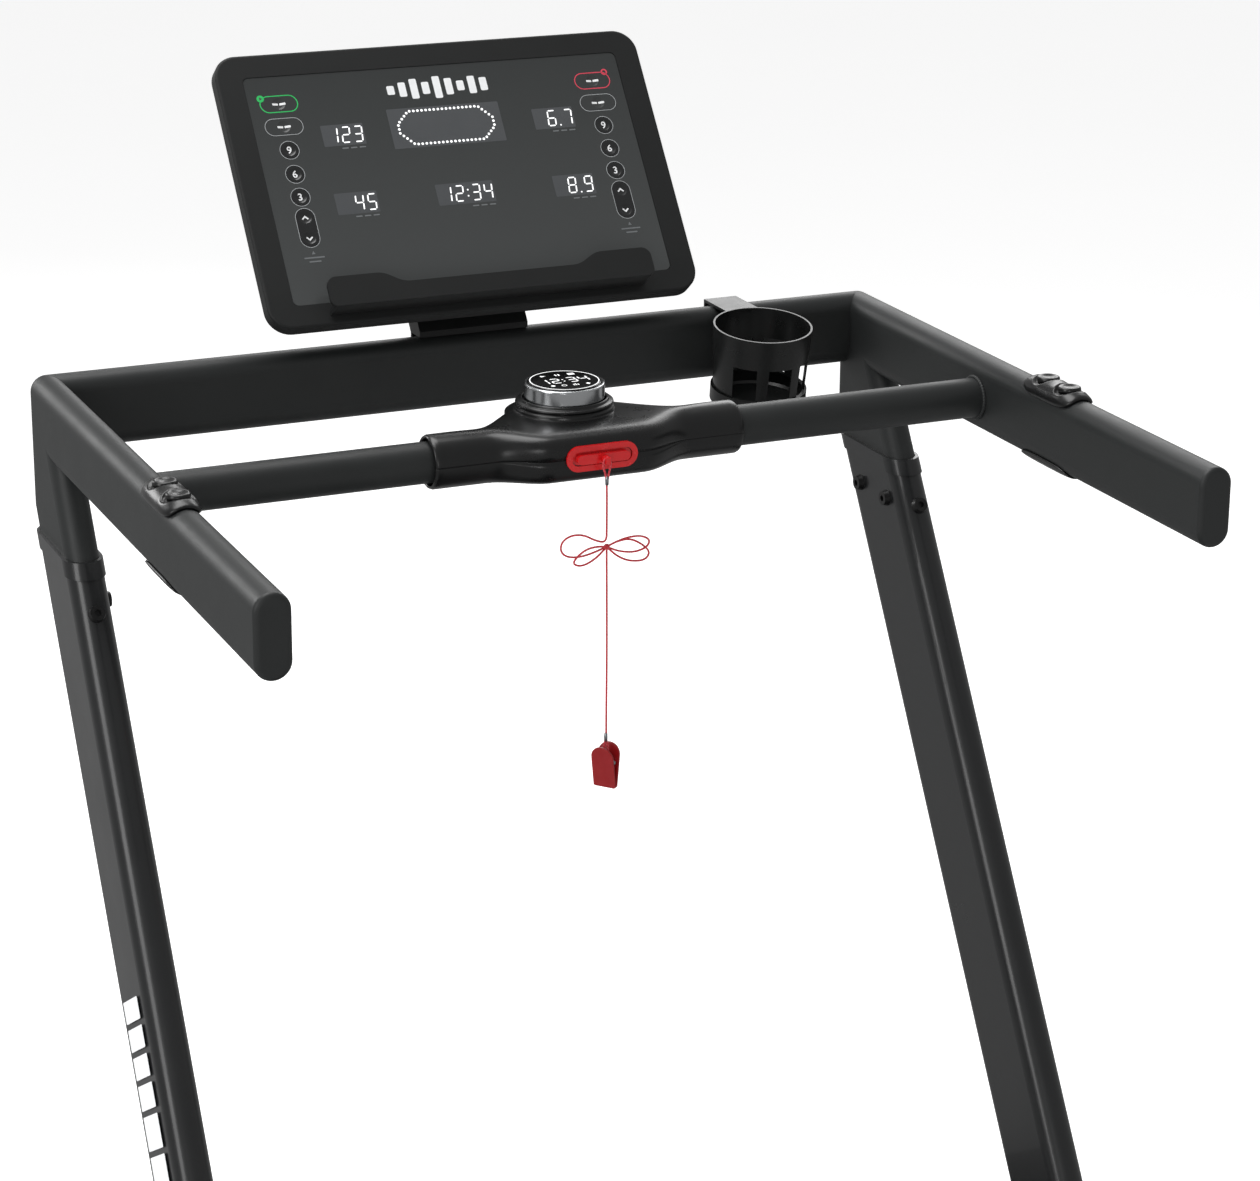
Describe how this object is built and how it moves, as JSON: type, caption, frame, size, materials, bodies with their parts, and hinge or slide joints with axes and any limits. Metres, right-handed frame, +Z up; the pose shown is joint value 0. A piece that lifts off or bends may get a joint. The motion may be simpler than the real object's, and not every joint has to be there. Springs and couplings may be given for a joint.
{
  "type": "treadmill",
  "caption": "Folding treadmill with leaning uprights, U-shaped handrail, tilted console, speed knob, cup holder, safety key and a motor-driven folding deck.",
  "frame": {"origin": "centre of the footprint of the whole machine on the floor", "axes": "+Y towards the console, +X to the walker's right, +Z up"},
  "size_m": [0.758, 1.68, 1.2924],
  "materials": {
    "frame_black": "matt textured black powder coat",
    "upright_black": "semi-gloss black paint",
    "base_black": "matt black powder coat",
    "shell_black": "fine-grained black ABS",
    "glass_panel": "dark grey gloss overlay",
    "gloss_black": "polished black ABS",
    "satin_black": "satin black ABS",
    "red_plastic": "glossy red plastic",
    "red_cord": "thin braided red cord",
    "steel_black": "black oxide steel",
    "polished": "polished and brushed aluminium look",
    "cup_black": "gloss black coated sheet",
    "rubber_black": "black rubber",
    "belt_black": "textured black belt",
    "board": "phenolic faced board",
    "steel": "zinc plated steel",
    "motor": "dark painted motor can",
    "alloy": "extruded aluminium",
    "wheel_grey": "black nylon"
  },
  "bodies": {
    "base": {"base_frame": "base_black", "base_feet": "rubber_black", "upright_left": "upright_black", "upright_right": "upright_black", "handrail_frame": "frame_black", "frame_bolts": "steel_black", "handrail_end_caps": "frame_black", "console_front_shell": "shell_black", "console_panel": "glass_panel", "tablet_shelf": "shell_black", "console_rear_shell": "shell_black", "console_bracket": "steel_black", "knob_housing_upper": "satin_black", "knob_housing_lower": "satin_black", "key_socket": "red_plastic", "cup_holder": "cup_black", "control_pads": "gloss_black"},
    "deck": {"deck_frame": "base_black", "deck_feet": "rubber_black", "deck_board": "board", "running_belt": "belt_black", "side_rails": "satin_black", "rear_end_caps": "satin_black", "motor_hood": "shell_black", "drive_motor": "motor", "motor_controller": "alloy", "drive_belt": "rubber_black"},
    "lift": {"lift_frame": "base_black"},
    "fold_shaft": {"pivot_shaft": "steel"},
    "actuator": {"actuator_body": "motor"},
    "actuator_rod": {"actuator_screw": "steel"},
    "front_roller": {"front_roller": "steel"},
    "rear_roller": {"rear_roller": "steel"},
    "rotor": {"motor_shaft": "steel"},
    "power_switch": {"power_switch": "gloss_black"},
    "wheel_left": {"transport_wheel_left": "wheel_grey"},
    "wheel_right": {"transport_wheel_right": "wheel_grey"},
    "knob": {"knob_ring": "polished"},
    "display": {"knob_display": "gloss_black"},
    "safety_key": {"safety_key": "red_plastic", "key_cord": "red_cord", "cord_bow": "red_cord", "clip_back": "red_plastic"},
    "clip": {"clip_front": "red_plastic"},
    "key_incline_3": {"key_incline_3": "glass_panel"},
    "key_incline_6": {"key_incline_6": "glass_panel"},
    "key_incline_9": {"key_incline_9": "glass_panel"},
    "key_incline_rocker": {"key_incline_rocker": "glass_panel"},
    "key_mode": {"key_mode": "glass_panel"},
    "key_program": {"key_program": "glass_panel"},
    "key_speed_3": {"key_speed_3": "glass_panel"},
    "key_speed_6": {"key_speed_6": "glass_panel"},
    "key_speed_9": {"key_speed_9": "glass_panel"},
    "key_speed_rocker": {"key_speed_rocker": "glass_panel"},
    "key_start": {"key_start": "glass_panel"},
    "key_stop": {"key_stop": "glass_panel"},
    "pad_left_near": {"pad_left_near": "gloss_black"},
    "pad_left_far": {"pad_left_far": "gloss_black"},
    "pad_right_near": {"pad_right_near": "gloss_black"},
    "pad_right_far": {"pad_right_far": "gloss_black"}
  },
  "joints": [
    {"name": "incline", "type": "hinge", "parent": "base", "child": "fold_shaft", "pos_m": [0, -0.752, 0.018], "axis": [1, 0, 0], "range_deg": [0, 2.65]},
    {"name": "lift_tilt", "type": "hinge", "parent": "base", "child": "lift", "pos_m": [0, 0.15, 0.057], "axis": [1, 0, 0], "range_deg": [0, 7.2]},
    {"name": "deck_fold", "type": "hinge", "parent": "fold_shaft", "child": "deck", "pos_m": [0, 0.705, 0.09], "axis": [-1, 0, 0], "range_deg": [0, 58]},
    {"name": "actuator_tilt", "type": "hinge", "parent": "base", "child": "actuator", "pos_m": [0.06, 0.43, 0.034], "axis": [1, 0, 0], "range_deg": [0, 18]},
    {"name": "actuator_extend", "type": "slide", "parent": "actuator", "child": "actuator_rod", "axis": [0, 0.9867, 0.1625], "range_m": [0, 0.014]},
    {"name": "front_roller_spin", "type": "hinge", "parent": "deck", "child": "front_roller", "pos_m": [0, 0.455, 0.1455], "axis": [1, 0, 0], "continuous": true},
    {"name": "rear_roller_spin", "type": "hinge", "parent": "deck", "child": "rear_roller", "pos_m": [0, -0.79, 0.1455], "axis": [1, 0, 0], "continuous": true},
    {"name": "rotor_spin", "type": "hinge", "parent": "deck", "child": "rotor", "pos_m": [0, 0.61, 0.16], "axis": [1, 0, 0], "continuous": true},
    {"name": "power_rocker", "type": "hinge", "parent": "deck", "child": "power_switch", "pos_m": [-0.2, 0.763, 0.128], "axis": [1, 0, 0], "range_deg": [0, 12]},
    {"name": "wheel_left_spin", "type": "hinge", "parent": "base", "child": "wheel_left", "pos_m": [-0.344, 0.811, 0.0305], "axis": [1, 0, 0], "continuous": true},
    {"name": "wheel_right_spin", "type": "hinge", "parent": "base", "child": "wheel_right", "pos_m": [0.344, 0.811, 0.0305], "axis": [1, 0, 0], "continuous": true},
    {"name": "knob_turn", "type": "hinge", "parent": "base", "child": "knob", "pos_m": [0, 0.52386, 1.0664], "axis": [0, 0, 1], "continuous": true},
    {"name": "display_press", "type": "slide", "parent": "base", "child": "display", "axis": [0, 0, -1], "range_m": [0, 0.001], "stiffness_N_per_m": 1500},
    {"name": "key_pull", "type": "slide", "parent": "base", "child": "safety_key", "axis": [0, -1, 0], "range_m": [0, 0.012]},
    {"name": "clip_squeeze", "type": "hinge", "parent": "safety_key", "child": "clip", "pos_m": [0, 0.44016, 0.794], "axis": [-0.6428, 0.766, 0], "range_deg": [0, 14], "stiffness_Nm_per_rad": 0.05, "springref_deg": -11.46},
    {"name": "key_incline_3_press", "type": "slide", "parent": "base", "child": "key_incline_3", "axis": [0, 0.7976, -0.6032], "range_m": [0, 0.0008], "stiffness_N_per_m": 900},
    {"name": "key_incline_6_press", "type": "slide", "parent": "base", "child": "key_incline_6", "axis": [0, 0.7976, -0.6032], "range_m": [0, 0.0008], "stiffness_N_per_m": 900},
    {"name": "key_incline_9_press", "type": "slide", "parent": "base", "child": "key_incline_9", "axis": [0, 0.7976, -0.6032], "range_m": [0, 0.0008], "stiffness_N_per_m": 900},
    {"name": "key_incline_rocker_press", "type": "slide", "parent": "base", "child": "key_incline_rocker", "axis": [0, 0.7976, -0.6032], "range_m": [0, 0.0008], "stiffness_N_per_m": 900},
    {"name": "key_mode_press", "type": "slide", "parent": "base", "child": "key_mode", "axis": [0, 0.7976, -0.6032], "range_m": [0, 0.0008], "stiffness_N_per_m": 900},
    {"name": "key_program_press", "type": "slide", "parent": "base", "child": "key_program", "axis": [0, 0.7976, -0.6032], "range_m": [0, 0.0008], "stiffness_N_per_m": 900},
    {"name": "key_speed_3_press", "type": "slide", "parent": "base", "child": "key_speed_3", "axis": [0, 0.7976, -0.6032], "range_m": [0, 0.0008], "stiffness_N_per_m": 900},
    {"name": "key_speed_6_press", "type": "slide", "parent": "base", "child": "key_speed_6", "axis": [0, 0.7976, -0.6032], "range_m": [0, 0.0008], "stiffness_N_per_m": 900},
    {"name": "key_speed_9_press", "type": "slide", "parent": "base", "child": "key_speed_9", "axis": [0, 0.7976, -0.6032], "range_m": [0, 0.0008], "stiffness_N_per_m": 900},
    {"name": "key_speed_rocker_press", "type": "slide", "parent": "base", "child": "key_speed_rocker", "axis": [0, 0.7976, -0.6032], "range_m": [0, 0.0008], "stiffness_N_per_m": 900},
    {"name": "key_start_press", "type": "slide", "parent": "base", "child": "key_start", "axis": [0, 0.7976, -0.6032], "range_m": [0, 0.0008], "stiffness_N_per_m": 900},
    {"name": "key_stop_press", "type": "slide", "parent": "base", "child": "key_stop", "axis": [0, 0.7976, -0.6032], "range_m": [0, 0.0008], "stiffness_N_per_m": 900},
    {"name": "pad_left_near_press", "type": "slide", "parent": "base", "child": "pad_left_near", "axis": [0, 0, -1], "range_m": [0, 0.001], "stiffness_N_per_m": 900},
    {"name": "pad_left_far_press", "type": "slide", "parent": "base", "child": "pad_left_far", "axis": [0, 0, -1], "range_m": [0, 0.001], "stiffness_N_per_m": 900},
    {"name": "pad_right_near_press", "type": "slide", "parent": "base", "child": "pad_right_near", "axis": [0, 0, -1], "range_m": [0, 0.001], "stiffness_N_per_m": 900},
    {"name": "pad_right_far_press", "type": "slide", "parent": "base", "child": "pad_right_far", "axis": [0, 0, -1], "range_m": [0, 0.001], "stiffness_N_per_m": 900}
  ],
  "couplings": [
    {"joint": "lift_tilt", "follows": "incline", "ratio": 2.622},
    {"joint": "actuator_tilt", "follows": "incline", "ratio": 6.4275},
    {"joint": "actuator_extend", "follows": "incline", "m_per_rad": 0.28376},
    {"joint": "rear_roller_spin", "follows": "front_roller_spin", "ratio": 1},
    {"joint": "rotor_spin", "follows": "front_roller_spin", "ratio": 2}
  ]
}
